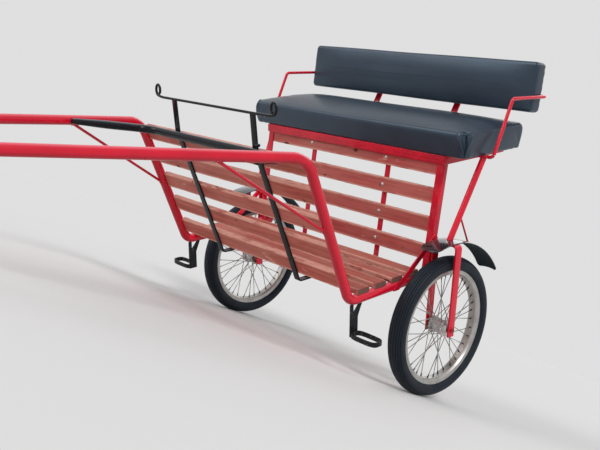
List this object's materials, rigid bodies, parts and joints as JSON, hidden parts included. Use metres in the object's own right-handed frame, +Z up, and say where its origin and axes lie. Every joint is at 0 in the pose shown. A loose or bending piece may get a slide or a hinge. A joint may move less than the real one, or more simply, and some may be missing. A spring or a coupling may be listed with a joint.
{
  "type": "two-wheeled pony road cart",
  "caption": "Light two-wheeled road cart with tubular shafts, slatted dash and floor, padded bench seat with back rest and spoked wheels.",
  "frame": {"origin": "on the ground under the middle of the bounding box, with the cart parked nose down on its shaft tips", "axes": "+Z up, -Y towards the shaft tips, +X to the cart's left side"},
  "size_m": [1.3, 2.8066, 1.3854],
  "materials": {
    "red_paint": "glossy paint",
    "black_paint": "glossy paint",
    "stained_wood": "worn reddish brown stain",
    "seat_board": "dark plywood",
    "black_vinyl": "smooth padded vinyl",
    "tyre_rubber": "matt ribbed rubber",
    "wheel_steel": "dull plated steel with specks of rust"
  },
  "bodies": {
    "cart": {"side_tube_left": "red_paint", "side_tube_right": "red_paint", "brace_rod_left": "red_paint", "brace_rod_right": "red_paint", "cross_bar": "black_paint", "rein_rail": "black_paint", "dash_upright_left": "black_paint", "dash_upright_right": "black_paint", "dash_slat_1": "stained_wood", "dash_slat_2": "stained_wood", "dash_slat_3": "stained_wood", "dash_slat_4": "stained_wood", "dash_slat_5": "stained_wood", "dash_cleat_left": "red_paint", "dash_cleat_right": "red_paint", "floor_slat_1": "stained_wood", "floor_slat_2": "stained_wood", "floor_slat_3": "stained_wood", "floor_slat_4": "stained_wood", "panel_slat_1": "stained_wood", "panel_slat_2": "stained_wood", "panel_slat_3": "stained_wood", "panel_slat_4": "stained_wood", "strap_left": "red_paint", "strap_right": "red_paint", "seat_post_left": "red_paint", "seat_post_right": "red_paint", "side_brace_left": "red_paint", "side_brace_right": "red_paint", "seat_frame": "red_paint", "arm_carrier": "red_paint", "seat_board": "seat_board", "seat_cushion": "black_vinyl", "back_board": "seat_board", "back_cushion": "black_vinyl", "back_support_left": "red_paint", "back_support_right": "red_paint", "arm_rail_left": "red_paint", "arm_rail_right": "red_paint", "strut_left": "red_paint", "strut_right": "red_paint", "guard_stay_left": "red_paint", "guard_stay_right": "red_paint", "mudguard_left": "black_paint", "mudguard_right": "black_paint", "fork_left": "red_paint", "fork_right": "red_paint", "axle_left": "wheel_steel", "axle_right": "wheel_steel", "step_left": "black_paint", "step_right": "black_paint"},
    "wheel_left": {"tyre_left": "tyre_rubber", "wheel_left": "wheel_steel"},
    "wheel_right": {"tyre_right": "tyre_rubber", "wheel_right": "wheel_steel"}
  },
  "joints": [
    {"name": "wheel_left_spin", "type": "hinge", "parent": "cart", "child": "wheel_left", "pos_m": [0.576, 1.12342, 0.28], "axis": [1, 0, 0], "continuous": true},
    {"name": "wheel_right_spin", "type": "hinge", "parent": "cart", "child": "wheel_right", "pos_m": [-0.576, 1.12342, 0.28], "axis": [1, 0, 0], "continuous": true}
  ]
}
